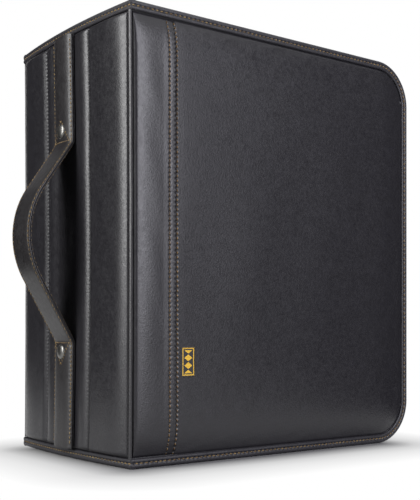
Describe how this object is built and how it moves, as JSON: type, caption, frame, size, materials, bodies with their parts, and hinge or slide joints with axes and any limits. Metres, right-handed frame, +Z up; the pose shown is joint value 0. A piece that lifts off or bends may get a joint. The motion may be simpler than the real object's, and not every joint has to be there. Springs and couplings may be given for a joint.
{
  "type": "cd storage case",
  "caption": "Upright zipped storage case for discs: padded covers hinged on a padded spine with a riveted strap handle, around a block of sleeve pages",
  "frame": {"origin": "middle of the closed case's footprint, handle included, at the surface it stands on", "axes": "+X from the spine to the fore-edge, +Y from the front cover to the back cover, +Z up"},
  "size_m": [0.3322, 0.1778, 0.33],
  "materials": {
    "leatherette": "black fine-grained leatherette, satin",
    "handle_leather": "black leatherette strap, satin",
    "lining": "black woven lining",
    "board": "grey stiffening board",
    "page": "clear film sleeves on black felt",
    "zip_tape": "black woven zip tape",
    "zip_coil": "black nylon coil",
    "zip_metal": "dark plated zip slider",
    "rivet_metal": "nickel plated rivet",
    "tab": "woven tab"
  },
  "bodies": {
    "spine": {"back_corner_welt": "leatherette", "front_corner_welt": "leatherette", "handle_backing": "handle_leather", "handle_rivet_lower": "rivet_metal", "handle_rivet_upper": "rivet_metal", "handle_strap": "handle_leather", "page_hinge_strip": "lining", "rivet_burr_lower": "rivet_metal", "rivet_burr_upper": "rivet_metal", "sleeve_pages": "page", "spine_board": "board", "spine_centre_panel": "leatherette", "spine_lining": "lining", "spine_rim_bottom": "leatherette", "spine_rim_top": "leatherette", "spine_side_panel_back": "leatherette", "spine_side_panel_front": "leatherette"},
    "front_cover": {"front_cover_panel": "leatherette", "front_hinge_strip": "leatherette", "front_board": "board", "front_lining": "lining", "front_binding": "leatherette", "front_gusset": "leatherette", "front_zip_tape": "zip_tape", "front_zip_coil": "zip_coil", "label_tab": "tab"},
    "back_cover": {"back_cover_panel": "leatherette", "back_hinge_strip": "leatherette", "back_board": "board", "back_lining": "lining", "back_binding": "leatherette", "back_gusset": "leatherette", "back_zip_tape": "zip_tape", "back_zip_coil": "zip_coil"},
    "zip_slider": {"zip_slider": "zip_metal"},
    "zip_puller": {"zip_puller": "zip_metal"}
  },
  "joints": [
    {"name": "front_cover_hinge", "type": "hinge", "parent": "spine", "child": "front_cover", "pos_m": [-0.11886, -0.085, 0.165], "axis": [0, 0, -1], "range_deg": [0, 110]},
    {"name": "back_cover_hinge", "type": "hinge", "parent": "spine", "child": "back_cover", "pos_m": [-0.11886, 0.085, 0.165], "axis": [0, 0, 1], "range_deg": [0, 110]},
    {"name": "zip_slide", "type": "slide", "parent": "back_cover", "child": "zip_slider", "axis": [1, 0, 0], "range_m": [0, 0.213], "deforming": ["front_zip_coil", "back_zip_coil"]},
    {"name": "puller_swing", "type": "hinge", "parent": "zip_slider", "child": "zip_puller", "pos_m": [-0.09866, 0, 0.326], "axis": [0, -1, 0], "range_deg": [0, 160]}
  ]
}
